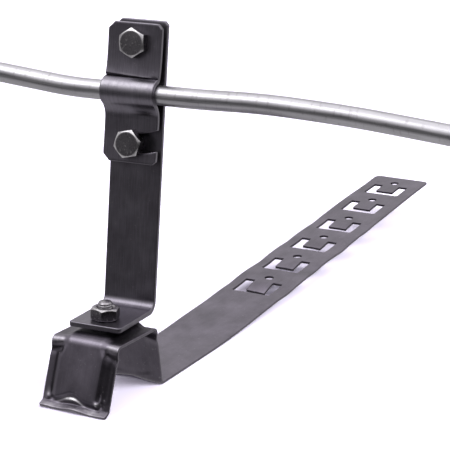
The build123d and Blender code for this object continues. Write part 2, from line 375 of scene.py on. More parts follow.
def sheet_piece(name, loops, grid, surface, thickness, edge, place, painted_light_at=None):
    """A sheet cut to outlines drawn flat, rounded at its edges and put in space by a surface."""
    turned = [loops[0] if signed_area(loops[0]) > 0 else loops[0][::-1]]
    turned += [loop if signed_area(loop) < 0 else loop[::-1] for loop in loops[1:]]
    face_loops = [inset(loop, edge) for loop in turned]
    grid = grid[inside(grid, face_loops)]
    grid = grid[away_from(grid, face_loops, 0.25)]
    flat = np.concatenate(face_loops + [grid])
    edges = []
    start = 0
    for loop in face_loops:
        numbers = np.arange(len(loop)) + start
        edges += list(zip(numbers.tolist(), np.roll(numbers, -1).tolist()))
        start += len(loop)
    cut = delaunay_2d_cdt([Vector(p) for p in flat.tolist()], edges, [], 0, 1e-5)
    face_flat = np.array([tuple(p) for p in cut[0]])
    triangles = np.array(cut[2])
    triangles = triangles[inside(face_flat[triangles].mean(axis=1), face_loops)]
    new_number = {old: new for new, olds in enumerate(cut[3]) for old in olds}

    half = thickness / 2
    count = len(face_flat)
    levels = [(0.293 * edge, 0.293 * edge), (0.0, edge)]
    flats = [face_flat, face_flat]
    outs = [np.full(count, half), np.full(count, -half)]
    # The top face takes painted highlights and painted shade from the given function; the underside is
    # darkened with painted shade.
    painted_light = np.zeros(count) if painted_light_at is None else painted_light_at(face_flat[:, 0], face_flat[:, 1])
    wears = [painted_light, np.full(count, UNDERSIDE_SHADE)]
    faces = triangles.tolist() + (triangles[:, ::-1] + count).tolist()
    total = 2 * count
    start = 0
    for loop, face_loop in zip(turned, face_loops):
        # The outer edge is made paler as scuffed; the edges of holes and slots are darkened as painted
        # shade.
        edge_wear_and_shade = OUTLINE_WEAR if loop is turned[0] else CUTOUT_SHADE
        on_face = np.array([new_number[start + i] for i in range(len(loop))])
        start += len(loop)
        rings = [on_face]
        for side in (1, -1):
            for inward, drop in levels[::side]:
                flats.append(inset(loop, inward))
                outs.append(np.full(len(loop), side * (half - drop)))
                wears.append(np.full(len(loop), edge_wear_and_shade))
                rings.append(np.arange(len(loop)) + total)
                total += len(loop)
        rings.append(on_face + count)
        for upper, lower in zip(rings, rings[1:]):
            ahead_up, ahead_low = np.roll(upper, -1), np.roll(lower, -1)
            faces += np.stack([upper, lower, ahead_low, ahead_up], -1).tolist()
    flats, outs, wears = np.concatenate(flats), np.concatenate(outs), np.concatenate(wears)
    vertices = surface(flats[:, 0], flats[:, 1], outs)
    return add_mesh(name, vertices, faces, place, flats, wears)


def skin_piece(name, rings, place, caps=(False, False), wear_and_painted_light=None, closed=False):
    """A surface through rings of equal counts, with a fan at either end, or closed on itself."""
    rings = np.array(rings)
    rows, count, _ = rings.shape
    vertices = rings.reshape(-1, 3)
    wears = np.repeat(np.zeros(rows) if wear_and_painted_light is None else np.array(wear_and_painted_light, float), count)
    steps = np.linalg.norm(np.diff(rings[:, 0], axis=0), axis=1)
    along = np.repeat(np.concatenate([[0.0], np.cumsum(steps)]), count)
    around = np.tile(np.arange(count) * 2 * math.pi * 4.0 / count, rows)
    uvs = np.stack([around, along], -1)
    numbers = np.arange(rows * count).reshape(rows, count)
    faces = []
    pairs = list(zip(numbers, numbers[1:]))
    if closed:
        pairs.append((numbers[-1], numbers[0]))
    for here, after in pairs:
        faces += np.stack([here, np.roll(here, -1), np.roll(after, -1), after], -1).tolist()
    for row, wanted in ((0, caps[0]), (-1, caps[1])):
        if not wanted:
            continue
        middle = len(vertices)
        vertices = np.concatenate([vertices, rings[row].mean(axis=0)[None]])
        uvs = np.concatenate([uvs, uvs[numbers[row]].mean(axis=0)[None]])
        wears = np.concatenate([wears, wears[numbers[row, :1]]])
        ring = numbers[row] if row == -1 else numbers[row][::-1]
        faces += [[int(a), int(b), middle] for a, b in zip(ring, np.roll(ring, -1))]
    return add_mesh(name, vertices, faces, place, uvs, wears)


def join(pieces, name):
    """One piece out of several, under a new name."""
    with bpy.context.temp_override(
        active_object=pieces[0], object=pieces[0],
        selected_objects=pieces, selected_editable_objects=pieces,
    ):
        bpy.ops.object.join()
    pieces[0].name = name
    return pieces[0]


# ---------------------------------------------------------------- base bracket

def bump(value, middle, width):
    """A rounded rise to 1 at the middle."""
    return np.exp(-(((value - middle) / width) ** 2))


def smooth(value, low, high):
    """0 up to low, 1 from high on, and eased between them."""
    share = np.clip((value - low) / (high - low), 0, 1)
    return share * share * (3 - 2 * share)


def band(value, rise, fall):
    """1 between a rise and a fall, each eased from its first value to its second."""
    return smooth(value, *rise) * (1 - smooth(value, *fall))


def strip_path():
    reach = STRIP_END_Y - STRIP_LIFT[0]
    end = (STRIP_END_Y, STRIP_LIFT[1] + reach * math.tan(math.radians(STRIP_RISE)))
    corners = [LIP_TIP, HOOK, HAT_FRONT, HAT_BACK, FOLD, STRIP_LIFT, end]
    return filleted_path(corners, STRIP_RADII, step=0.15)


def hat_marks(path):
    """Distances along the strip's path of the panel's two ends and the hat's two top corners."""
    heights = path.points[:, 1]
    front_top, back_top, fold = (path.nearest(corner) for corner in (HAT_FRONT, HAT_BACK, FOLD))
    first = float(np.interp(PANEL_LOW, heights[:front_top], path.distances[:front_top]))
    back_heights = heights[back_top:fold][::-1]
    last = float(np.interp(PANEL_LOW, back_heights, path.distances[back_top:fold][::-1]))
    return first, path.distances[front_top], path.distances[back_top], last


def bracket_surface(path):
    first, front_top, back_top, last = hat_marks(path)
    fold_at = last + 4.0
    edge = PANEL_WIDTH / 2
    tab_ends = [tab_distance(path, number) for number in range(TAB_COUNT)]

    def panel_lift(across, along):
        """How far the pressed panel stands out of the sheet."""
        leg = PANEL_LEG - 0.45 * smooth(along, front_top - 18, front_top - 1)
        hat = leg + (PANEL_TOP - leg) * smooth(along, front_top - 1, front_top + 5)
        full = hat + (PANEL_BACK_LEG - hat) * smooth(along, back_top - 1.5, back_top + 3)
        bow = 1.6 * (1 - (across / edge) ** 2)
        arch = 0.9 - 2.6 * bump(across, -2.0, 4.5)
        marks = [front_top + step for step in (-7, -1.5, 4)] + [back_top + step for step in (-4, 1.5, 7)]
        wide, middle = PANEL_FOOT / 2, PANEL_FOOT / 2 - 0.5
        foot = np.interp(along, marks, [wide, edge, middle, middle, edge, wide])
        soft, sharp = PANEL_LEG_WALL, PANEL_WALL
        wall = np.interp(along, marks, [soft, sharp, soft + 1.6, soft + 1.6, sharp, soft])
        side = smooth(foot - np.abs(across), 0, wall)
        low_end = smooth(along - first + arch, 0, PANEL_END)
        high_end = smooth(last - along + bow, 0, PANEL_END)
        return full * side * low_end * high_end

    def lip_wave(across, along):
        """The flared lip's uneven edge, fading out up the leg."""
        wave = 0.75 * bump(across, 0.5, 4.2) + 0.35 * bump(across, -12.5, 2.5) - 0.3 * bump(across, 9.0, 3.5)
        return wave * (1 - smooth(along, 0.5, 4.5))

    def arch_ridge(across, along):
        """A small arched ridge pushed up under the panel's lower end."""
        crest = first + 0.6 - 0.06 * (across + 2.0) ** 2
        return 0.5 * bump(along, crest, 0.75) * bump(across, -2.0, 4.2)

    def corner_dents(across, along):
        """Small folds where the panel's lower corners meet the lip's bend."""
        reach = bump(along, first + 0.3, 1.0)
        left = 0.5 * bump(across, -edge - 3.2, 0.8) - 0.5 * bump(across, -edge - 1.2, 0.8)
        right = 0.85 * bump(across, edge + 0.2, 1.0) - 0.6 * bump(across, edge + 2.0, 0.9)
        return (left + right) * reach

    def side_grooves(across, along):
        """A furrow down each side of the panel on the front leg, wider on the right."""
        reach = band(along, (first + 1.0, first + 4.0), (front_top - 7.0, front_top - 4.0))
        left = 0.5 * bump(across, -edge - 2.2, 0.7)
        right = bump(across, edge + 0.9, 0.9) + bump(across, edge + 3.2, 0.8)
        return -0.35 * (left + right) * reach

    def fold_wave(across, along):
        """The fold under the back leg lifts a little off the ground, right of its middle."""
        return 0.9 * bump(across, 0.0, 5.5) * bump(along, fold_at - 1.0, 3.5)

    def flank_pull(across, along):
        """Beside the panel at the hat's bends: a dip below the bend and a flare at the outer edge."""
        outward = np.clip((np.abs(across) - edge) / (STRIP_WIDTH / 2 - edge), 0, 1)
        beside = smooth(np.abs(across), edge - 0.4, edge + 0.8)
        lift = np.zeros_like(across)
        for below in (front_top - along, along - back_top):
            lift -= 0.9 * (1 - 0.5 * outward) * beside * bump(below, 3.0 + 1.8 * outward, 1.6)
            lift += 0.4 * outward * bump(below, 1.5, 1.7)
        return lift

    def strip_waves(across, along):
        """Slight unevenness of the long strip, strongest where the slots weaken it."""
        on_strip = smooth(along, fold_at + 30, fold_at + 70)
        long_wave = 0.22 * np.sin(along / 17.0 + 0.8) + 0.12 * np.sin(along / 7.3 + across / 21.0)
        edge_wave = 0.18 * (across / 15.0) * np.sin(along / 9.5 + 2.0)
        kinks = sum(bump(along, end - SLOT_LENGTH / 2, 7.0) for end in tab_ends[:4])
        return on_strip * (long_wave * 0.5 + edge_wave * 0.7 - 0.45 * kinks * np.abs(across / 15.0))

    def tab_bend(across, along):
        """Each tab's free end, bent down a little more on its right."""
        lift = np.zeros_like(across)
        skew = 1 + 0.35 * (across - TAB_SIDE) / TAB_WIDTH
        for end, drop in zip(tab_ends, TAB_DROP):
            on_tab = (np.abs(across - TAB_SIDE) < TAB_WIDTH / 2 + 0.3) & (along < end) & (along > end - 12.0)
            back = np.clip((end - along) / TAB_LENGTH, 0, 1.03) * on_tab
            lift -= drop * skew * back**2
        return lift

    shapes = (
        panel_lift, lip_wave, corner_dents, arch_ridge, side_grooves,
        fold_wave, flank_pull, strip_waves, tab_bend,
    )

    def surface(across, along, out):
        y, z = path.beside(along, out + sum(shape(across, along) for shape in shapes))
        lean = LEG_LEAN * smooth(front_top - along, 0.0, front_top)
        return np.stack([across - lean, y, np.maximum(z, 0.0)], -1)

    return surface


def bracket_painted_light(path):
    """Above zero: painted highlights and a paler lip; below zero: painted shade, in the grooves, bends and
    hollows of the hat.
    """
    first, front_top, back_top, _ = hat_marks(path)

    # Painted highlights: a bright crescent and corner glints at the panel's lower end, bright flanks beside
    # the hat's front bend and faint ones along both bends; the lip is made paler.
    def painted_light(across, along):
        arch = first + 1.1 - 0.06 * (across + 2.0) ** 2
        crescent = 6.5 * bump(along, arch, 0.6) * bump(across, -2.0, 4.4)
        right_corner = 5.5 * bump(along, first + 0.7, 0.8) * bump(across, 9.6, 1.1)
        right_corner += 2.2 * bump(across, 10.6, 0.45) * bump(along, first + 3.4, 2.6)
        left_corner = 2.4 * bump(across, -12.8, 0.6) * bump(along, first + 1.8, 1.5)
        flanks = 1.5 * bump(along, front_top - 0.8, 1.5) * smooth(np.abs(across), 9.0, 11.0)
        bends = 0.12 * (bump(along, front_top + 0.5, 2.2) + bump(along, back_top, 1.8))
        lip = 1.6 * (1 - smooth(along, 1.5, 3.2))
        return crescent + right_corner + left_corner + flanks + bends + lip

    # Painted shade: dark furrows beside the panel down the front leg, its right flank, the panel's sides,
    # under the front bend and the lip's bend, on the hat's top and down the back leg.
    def painted_shade(across, along):
        down_leg = band(along, (first + 0.5, first + 3.0), (front_top - 6.0, front_top - 3.0))
        groove_shade = 1.3 * (bump(across, 10.1, 1.1) + bump(across, 12.9, 0.9)) + bump(across, -11.6, 0.6)
        right_flank_shade = 0.55 * smooth(across, 8.5, 10.0) * smooth(front_top - 2.0 - along, 0.0, 1.0)
        under_bend_shade = 1.6 * bump(along, front_top - 4.2, 1.2) * smooth(np.abs(across), 8.8, 10.4)
        sides = 0.3 * smooth(np.abs(across + 0.5), 4.0, 9.0) * down_leg
        under_lip_bend_shade = 0.7 * bump(along, first - 1.6, 0.5)
        hat_top_shade = 0.65 * band(along, (front_top + 1.0, front_top + 3.5), (back_top - 2, back_top))
        back_leg_shade = 0.5 * band(along, (back_top + 1.5, back_top + 5.0), (back_top + 24.0, back_top + 27.0))
        return groove_shade * down_leg + right_flank_shade + sides + under_bend_shade + under_lip_bend_shade + hat_top_shade + back_leg_shade

    def painted_light_at(across, along):
        return painted_light(across, along) - painted_shade(across, along)

    return painted_light_at


def tab_distance(path, number):
    """Distance along the strip's path of a slot's far end."""
    beyond = (FIRST_TAB_Y + number * TAB_PITCH - STRIP_END_Y) / math.cos(math.radians(STRIP_RISE))
    return path.length + beyond


def slot_loop(end):
    """The U-shaped cut round one tab, its far end at a distance along the strip."""
    wide, narrow = SLOT_WIDTH / 2, TAB_WIDTH / 2
    corners = [
        (-wide, 0), (-wide, -SLOT_LENGTH), (wide, -SLOT_LENGTH), (wide, 0),
        (narrow, 0), (narrow, -TAB_LENGTH), (-narrow, -TAB_LENGTH), (-narrow, 0),
    ]
    radii = [0.6, 0.9, 0.9, 0.6, 0.35, 0.35, 0.35, 0.35]
    return rounded_loop(corners, radii) + np.array([TAB_SIDE, end])


def base_bracket(place):
    path = strip_path()
    half = STRIP_WIDTH / 2
    corners = [(-half, 0), (half, 0), (half, path.length), (-half, path.length)]
    loops = [rounded_loop(corners, [0.7, 0.7, *END_CORNERS])]
    front_corner, back_corner = hat_marks(path)[1:3]
    loops.append(circle_loop((0, (front_corner + back_corner) / 2), BOLT_HOLE / 2))
    for number in range(TAB_COUNT):
        end = tab_distance(path, number)
        loops.append(slot_loop(end))
        loops.append(circle_loop((TAB_SIDE, end + NAIL_HOLE_BEYOND), NAIL_HOLE / 2, 28))
    hat_end = 100.0

    def step_at(point):
        return 0.4 if point[1] < hat_end else 1.0

    fine_rows = np.arange(0.3, hat_end, 0.36)
    coarse_rows = np.arange(hat_end, path.length, 1.1)
    loops[0] = sides_at_rows(loops[0], np.concatenate([fine_rows, coarse_rows]))
    loops[1:] = [densify(loop, step_at) for loop in loops[1:]]
    grid = np.concatenate([grid_points(half, 76, fine_rows), grid_points(half, 28, coarse_rows)])
    surface, painted_light_at = bracket_surface(path), bracket_painted_light(path)
    return sheet_piece("bracket_sheet", loops, grid, surface, SHEET, STRIP_EDGE, place, painted_light_at)


def sides_at_rows(loop, rows):
    """A long strip's outline with a point on each side at every row, and its short ends split."""
    points = []
    for here, after in zip(loop, np.roll(loop, -1, axis=0)):
        points.append(here)
        gap = after - here
        if np.linalg.norm(gap) < 2:
            continue
        if abs(gap[1]) > abs(gap[0]):
            low, high = sorted((here[1], after[1]))
            between = rows[(rows > low + 0.2) & (rows < high - 0.2)]
            ordered = between if gap[1] > 0 else between[::-1]
            points.extend(here + gap * (row - here[1]) / gap[1] for row in ordered)
        else:
            count = math.ceil(abs(gap[0]) / 0.5)
            points.extend(here + gap * i / count for i in range(1, count))
    return np.array(points)


# ---------------------------------------------------------------- upright and clamp plate

def plain_surface(path, waves):
    """Puts a sheet on a path in its frame's Y and Z."""

    def surface(across, along, out):
        return np.stack([across, *path.beside(along, out + waves(across, along))], -1)

    return surface


def upright(place):
    lean = math.radians(UPRIGHT_LEAN)
    level = WASHER_THICK + PLATE / 2
    top = (UPRIGHT_BACK + UPRIGHT_LENGTH * math.sin(lean), level + UPRIGHT_LENGTH * math.cos(lean))
    path = filleted_path([(-FOOT_FRONT, level), (UPRIGHT_BACK, level), top], [UPRIGHT_BEND])
    half, end = UPRIGHT_WIDTH / 2, path.length
    right, left = TOP_CHAMFERS
    corners = [
        (-half, 0), (half, 0), (half, end - right),
        (half - right, end), (left - half, end), (-half, end - left),
    ]
    bar_at = end - UPRIGHT_LENGTH + BAR_HEIGHT
    loops = [rounded_loop(corners, [*FOOT_CORNERS, 1.0, 1.0, 1.5, 1.5])]
    rows = np.concatenate([
        np.arange(0.4, 24.0, 0.7), np.arange(24.0, 36.0, 0.35), np.arange(36.0, end, 1.2)
    ])
    loops[0] = sides_at_rows(loops[0], rows)
    for up in (FOOT_FRONT, bar_at - BOLT_PITCH / 2, bar_at + BOLT_PITCH / 2):
        loops.append(circle_loop((0, up), BOLT_HOLE / 2))
    grid = grid_points(half, 30, rows)

    def waves(across, along):
        return 0.05 * np.sin(along / 13.0) * np.cos(across / 8.0)

    surface = plain_surface(path, waves)
    return sheet_piece("upright_plate", loops, grid, surface, PLATE, PLATE_EDGE, place)


def clamp_path():
    """The clamp plate's middle as (up the upright, out from it), from its lower end to its upper."""
    middle = CLAMP_GAP + PLATE / 2
    bar_out = BAR_DIAMETER / 2 + BAR_FIT
    hump = bar_out + PLATE / 2
    low = bar_out - middle
    feet = [math.asin((blend - low) / (hump + blend)) for blend in HUMP_BLENDS]
    reaches = [(hump + blend) * math.cos(foot) for blend, foot in zip(HUMP_BLENDS, feet)]
    half = CLAMP_LENGTH / 2
    points, headings = [(-half, middle)], [(1, 0)]

    def add_blend(blend, centre, angles):
        for angle in angles:
            points.append((centre + blend * math.cos(angle), middle + blend * (1 + math.sin(angle))))
            headings.append((-math.sin(angle), math.cos(angle)))

    add_blend(HUMP_BLENDS[0], HUMP_RAISED - reaches[0], np.linspace(-math.pi / 2, -feet[0], 20))
    for angle in np.linspace(math.pi - feet[0], feet[1], 48):
        points.append((HUMP_RAISED + hump * math.cos(angle), bar_out + hump * math.sin(angle)))
        headings.append((math.sin(angle), -math.cos(angle)))
    upper_angles = np.linspace(math.pi + feet[1], 3 * math.pi / 2, 14)
    add_blend(HUMP_BLENDS[1], HUMP_RAISED + reaches[1], upper_angles)
    points.append((half, middle))
    headings.append((1, 0))
    return Path(points, headings)


def clamp_loop(path):
    """The clamp plate's outline, drawn about the bar and then shifted along the path."""
    half, end = CLAMP_WIDTH / 2, CLAMP_LENGTH / 2
    upper_bolt = BOLT_PITCH / 2
    low, high = CLAMP_RIGHT_CUTS

    def slot_side(radius, shares):
        """One side of the swing slot, at a radius about the upper bolt."""
        angles = [share * math.asin(half / radius) for share in shares]
        return [(radius * math.sin(a), upper_bolt - radius * math.cos(a)) for a in angles]

    points = [(-half, CLAMP_CHAMFER - end), (CLAMP_CHAMFER - half, -end)]
    points += [(half - low, -end), (half, low - end)]
    points += slot_side(BOLT_PITCH + SWING_SLOT / 2, np.linspace(1, 0, 7))
    for angle in np.radians(np.arange(-105, -265, -15)):
        side, up = SWING_SLOT / 2 * math.cos(angle), SWING_SLOT / 2 * math.sin(angle)
        points.append((side, up - upper_bolt))
    points += slot_side(BOLT_PITCH - SWING_SLOT / 2, np.linspace(0, 1, 7))
    slot_points = len(points) - 4
    points += [(half, end - high), (half - high, end)]
    points += [(CLAMP_CHAMFER - half, end), (-half, end - CLAMP_CHAMFER)]
    radii = [0.6] * 4 + [0.5] + [0.05] * (slot_points - 2) + [0.5]
    radii += [1.2, 1.2, 0.6, 0.6]
    loop = rounded_loop(points, radii)
    loop[:, 1] += np.where(loop[:, 1] > 0, path.length - end, end)
    return loop


def clamp_plate(place):
    path = clamp_path()
    top = float(path.distances[int(np.argmax(path.points[:, 1]))])
    crease = float(np.interp(HUMP_TOP_CREASE, path.points[:, 0], path.distances))
    rows = np.concatenate([
        np.arange(0.4, top - 14, 0.6),
        np.arange(top - 14, top + 14, 0.3),
        np.arange(top + 14, path.length, 0.6),
    ])
    half = CLAMP_WIDTH / 2
    upper_hole = path.length - CLAMP_LENGTH / 2 + BOLT_PITCH / 2
    outline = sides_at_rows(clamp_loop(path), rows)
    loops = [outline, circle_loop((0, upper_hole), BOLT_HOLE / 2)]
    grid = grid_points(half, 44, rows)

    def surface(across, along, out):
        slant = (0.45 + 0.65 * across / half) * bump(along, crease, 4.5)
        left, right = np.minimum(across, 0) / half, np.maximum(across, 0) / half
        sideways = 0.5 * left * bump(along, top, 6.5)
        sideways -= right * (0.7 + 0.4 * bump(along, top + 1.5, 6.5))
        dent = -0.35 * bump(along, crease, 0.8) * bump(across, half - 1.8, 1.6)
        low_dent = -0.3 * bump(along, top - 9.4, 1.2) * bump(across, 6.0, 4.5)
        above = np.maximum(along - crease, 0)
        flare = 1.1 * np.exp(-above / 4.5) * smooth(along, crease - 1.6, crease + 0.2)
        sweep = 0.9 * np.clip((top - 14 - along) / 20, 0, 1) ** 2
        y, z = path.beside(along - slant, out + dent + low_dent + flare + sweep)
        return np.stack([across + sideways, y, z], -1)

    # Painted light: a bright line along the upper crease, painted shade in the crease, a painted highlight
    # on the hump's upper side and a painted shadow in the hollow below the hump.
    def painted_light_at(across, along):
        crease_highlight = 1.8 * bump(along, crease + 0.7, 0.25) * bump(across, -1.0, 5.0)
        shade = 1.5 * bump(along, crease, 0.35)
        hump = 1.3 * bump(along, top + 2.5, 2.6)
        painted_shadow_under_hump = 1.1 * bump(along, top - 9.4, 0.9) * bump(across, 6.2, 4.2)
        return crease_highlight + hump - shade - painted_shadow_under_hump

    return sheet_piece("clamp_plate_sheet", loops, grid, surface, PLATE, PLATE_EDGE, place, painted_light_at)


# ---------------------------------------------------------------- fasteners

def hexagon(turn, corner_radius=0.35, per_corner=5, per_side=6):
    """A hexagon outline with slightly rounded corners, about the origin."""
    corner = HEX_FLATS / 2 / math.cos(math.radians(30))
    turns = [math.radians(turn + 60 * i) for i in range(6)]
    corners = [(corner * math.cos(angle), corner * math.sin(angle)) for angle in turns]
    arc_step = corner_radius * math.radians(60) / per_corner
    side_step = HEX_FLATS / math.sqrt(3) / per_side
    return densify(rounded_loop(corners, [corner_radius] * 6, step=arc_step), lambda point: side_step)


def level_ring(reach, height, angles):
    """A ring about z, whose reach may change on the way round."""
    return np.column_stack([reach * np.cos(angles), reach * np.sin(angles), np.full(len(angles), height)])


def ring_at(outline, radius, height):
    """The outline drawn in to a circle of a radius, at a height."""
    way = outline / np.linalg.norm(outline, axis=1, keepdims=True)
    return np.column_stack([way * radius, np.full(len(way), height)])


def hex_rings(outline, height, face_radius, face_at_top):
    """Rings from a hexagon's side edge over its chamfer to its flat face."""
    radius = np.linalg.norm(outline, axis=1)
    slope = math.tan(math.radians(HEX_CHAMFER))
    sign = 1 if face_at_top else -1
    rings, wears = [], []
    for share, extra, wear_and_painted_light in ((0.0, 0.35, -0.6), (0.0, 0.0, 1.0), (0.12, 0.0, 1.0), (0.55, 0.0, 0.9)):
        reach = radius + (face_radius - radius) * share
        drop = np.maximum(reach - face_radius, 0) * slope + extra
        flat = outline / radius[:, None] * reach[:, None]
        rings.append(np.column_stack([flat, height - sign * drop]))
        wears.append(wear_and_painted_light)
    for beyond, drop in ((0.12, 0.045), (-0.12, 0.0), (-0.5, 0.0)):
        rings.append(ring_at(outline, face_radius + beyond, height - sign * drop))
    return rings, wears + [0.8, 0.3, 0.0]


def thread_rings(low, high, outer, angles):
    """Rings of a right-handed thread between two heights, tapering in at the high end."""
    rings = []
    rows = int((high - low) / THREAD_PITCH * 14)
    for height in np.linspace(low, high, rows + 1):
        turn = (height / THREAD_PITCH - angles / (2 * math.pi)) % 1.0
        ridge = np.clip(np.abs(turn - 0.5) * 2.4 - 0.15, 0, 1)
        taper = max(0.0, height - (high - 0.7)) * 0.9
        reach = np.minimum(outer - THREAD_DEPTH * ridge, outer - taper)
        rings.append(level_ring(reach, height, angles))
    return rings


def bolt_piece(name, place, length, turn):
    """A hex bolt, its head above z = 0 and its threaded shank below."""
    outline = hexagon(turn)
    rings, wears = hex_rings(outline, HEAD_HEIGHT, HEX_FACE, True)
    bottom = [np.column_stack([outline * 0.985, np.zeros(len(outline))])]
    bottom.append(np.column_stack([outline, np.full(len(outline), 0.12)]))
    head = skin_piece(name, bottom + rings, place, (True, True), [0.4, -0.6] + wears)
    flipped = place @ Matrix.Rotation(math.pi, 4, "X")
    rings = thread_rings(0.0, length, SHANK / 2, round_angles(48))
    shank = skin_piece(name + "_shank", rings, flipped, (False, True), [0.3] * len(rings))
    return join([head, shank], name)


def nut_piece(name, place, turn):
    """A hex nut standing on z = 0, with a countersunk hole through it."""
    outline = hexagon(turn)
    top, top_wear = hex_rings(outline, NUT_HEIGHT, HEX_FACE, True)
    bottom, bottom_wear = hex_rings(outline, 0.0, HEX_FACE, False)
    bore = SHANK / 2 + 0.05
    mouth = [(bore + 0.55, 0.0, 0.6), (bore + 0.05, 0.5, 0.3), (bore, 0.6, 0.0)]
    rings = bottom[::-1] + top
    wears = bottom_wear[::-1] + top_wear
    for radius, deep, wear_and_painted_light in mouth:
        rings.append(ring_at(outline, radius, NUT_HEIGHT - deep))
        wears.append(wear_and_painted_light)
    for radius, deep, wear_and_painted_light in mouth[::-1]:
        rings.append(ring_at(outline, radius, deep))
        wears.append(wear_and_painted_light)
    return skin_piece(name, rings, place, wear_and_painted_light=wears, closed=True)


def washer_rings(outer, inner, thick, edge, angles):
    """Rings of a washer's section, one for each corner point, turned about z."""
    section = [
        (inner, edge), (inner, thick - edge), (inner + edge, thick), (outer - edge, thick),
        (outer - 0.29 * edge, thick - 0.29 * edge), (outer, thick - edge), (outer, edge),
        (outer - 0.29 * edge, 0.29 * edge), (outer - edge, 0.0), (inner + edge, 0.0),
    ]
    return [level_ring(radius, height, angles) for radius, height in section]


def flat_washer(place):
    rings = washer_rings(WASHER_OUTER / 2, BOLT_HOLE / 2, WASHER_THICK, 0.25, round_angles(72))
    wears = [0.2, 0.2, 0.3, 1.0, 1.0, 0.5, 0.5, 1.0, 1.0, 0.3]
    return skin_piece("flat_washer", rings[::-1], place, wear_and_painted_light=wears[::-1], closed=True)


def lock_washer(name, place):
    """A split spring washer: its section swept round from one side of the cut to the other."""
    angles = np.radians(np.linspace(LOCK_WASHER_GAP / 2, 360 - LOCK_WASHER_GAP / 2, 64))
    rings = washer_rings(LOCK_WASHER_OUTER / 2, BOLT_HOLE / 2, WASHER_THICK, 0.2, angles)
    section = np.array(rings)
    slant = math.radians(9)
    rings = []
    for i in range(len(angles)):
        ring = section[:, i].copy()
        ease = math.cos(math.pi * i / (len(angles) - 1)) ** 15
        lean = -slant * (ring[:, 2] / WASHER_THICK - 0.5) * abs(ease)
        x = ring[:, 0] * np.cos(lean) - ring[:, 1] * np.sin(lean)
        y = ring[:, 0] * np.sin(lean) + ring[:, 1] * np.cos(lean)
        rings.append(np.column_stack([x, y, ring[:, 2]]))
    wears = [1.0] + [0.4] * (len(rings) - 2) + [1.0]
    return skin_piece(name, rings[::-1], place, (True, True), wears)


# ---------------------------------------------------------------- bar

def bar_radii():
    """The same bend radii as the part: a share of the shorter run, and a short reach by the clamp."""
    points = [np.array(point) for point in BAR_POINTS]
    radii = []
    for before, here, after in zip(points, points[1:], points[2:]):
        turn = math.acos(np.clip(unit(here - before) @ unit(after - here), -1, 1))
        reach = BAR_BEND_REACH * min(np.linalg.norm(here - before), np.linalg.norm(after - here))
        if min(abs(before[0]), abs(after[0])) == abs(here[0]):
            reach = BAR_CLAMP_REACH
        radii.append(reach / math.tan(turn / 2))
    return radii


def round_bar(place):
    """The drawn bar; its route is written in level axes about the middle of the clamp."""
    path = filleted_path(BAR_POINTS, bar_radii(), step=1.5)
    radius = BAR_DIAMETER / 2
    chamfer = BAR_END_CHAMFER
    ends = [(0.0, radius - chamfer), (0.05, radius - chamfer + 0.1)]
    ends += [(chamfer, radius - 0.04), (chamfer + 0.3, radius)]
    stations = ends + [(d, radius) for d in np.arange(2.0, path.length - 1.5, 1.5)]
    stations += [(path.length - d, r) for d, r in ends[::-1]]
    angles = round_angles(64)
    rings, wears = [], []
    for distance, reach in stations:
        here, way = path.read(distance)
        side = unit(np.cross(way, [0, 0, 1]))
        up = np.cross(side, way)
        ring = here + reach * (np.outer(np.cos(angles), side) + np.outer(np.sin(angles), up))
        rings.append(ring)
        wears.append(1.0 if reach < radius else 0.0)
    return skin_piece("bar", rings[::-1], place, (True, True), wears[::-1])


# ---------------------------------------------------------------- materials

class Nodes:
    """Short calls for building a node tree; a value may be a number, a tuple or another node's output."""

    def __init__(self, tree):
        self.tree = tree

    def feed(self, node, inputs):
        """Puts a value or a link into each of a node's inputs."""
        for key, value in inputs.items():
            socket = node.inputs[key]
            if isinstance(value, bpy.types.NodeSocket):
                self.tree.links.new(value, socket)
            else:
                socket.default_value = (*value, 1.0) if socket.type == "RGBA" else value

    def add(self, kind, inputs, **settings):
        node = self.tree.nodes.new(kind)
        for key, value in settings.items():
            setattr(node, key, value)
        self.feed(node, inputs)
        return node

    def coordinates(self, source, scale=(1.0, 1.0, 1.0)):
        """Texture coordinates from "UV" or "Object", stretched by a scale."""
        vector = self.add("ShaderNodeTexCoord", {}).outputs[source]
        return self.add("ShaderNodeMapping", {"Vector": vector, "Scale": scale}).outputs["Vector"]

    def noise(self, vector, scale, detail=3.0, roughness=0.55):
        inputs = {"Vector": vector, "Scale": scale, "Detail": detail, "Roughness": roughness}
        return self.add("ShaderNodeTexNoise", inputs).outputs["Fac"]

    def ramp(self, source, low, high, start=0.0, end=1.0, easing="LINEAR"):
        inputs = {"Value": source, "From Min": low, "From Max": high, "To Min": start, "To Max": end}
        return self.add("ShaderNodeMapRange", inputs, interpolation_type=easing).outputs["Result"]

    def math(self, operation, first, second):
        return self.add("ShaderNodeMath", {0: first, 1: second}, operation=operation).outputs["Value"]

    def plus(self, first, second):
        return self.math("ADD", first, second)

    def times(self, first, second):
        return self.math("MULTIPLY", first, second)

    def blend(self, first, second, share):
        """The first times 1 - share, and the second times share."""
        return self.plus(self.times(first, 1.0 - share), self.times(second, share))

    def mix(self, factor, first, second):
        """A colour between two; 6 and 7 are the node's colour inputs, and 2 is its colour output."""
        inputs = {"Factor": factor, 6: first, 7: second}
        return self.add("ShaderNodeMix", inputs, data_type="RGBA").outputs[2]

    def bump(self, height, strength, distance):
        inputs = {"Height": height, "Strength": strength, "Distance": distance}
        return self.add("ShaderNodeBump", inputs).outputs["Normal"]

    def shade(self, inputs):
        self.feed(self.tree.nodes["Principled BSDF"], inputs)


def new_material(name):
    material = bpy.data.materials.new(name)
    material.use_nodes = True
    return material, Nodes(material.node_tree)


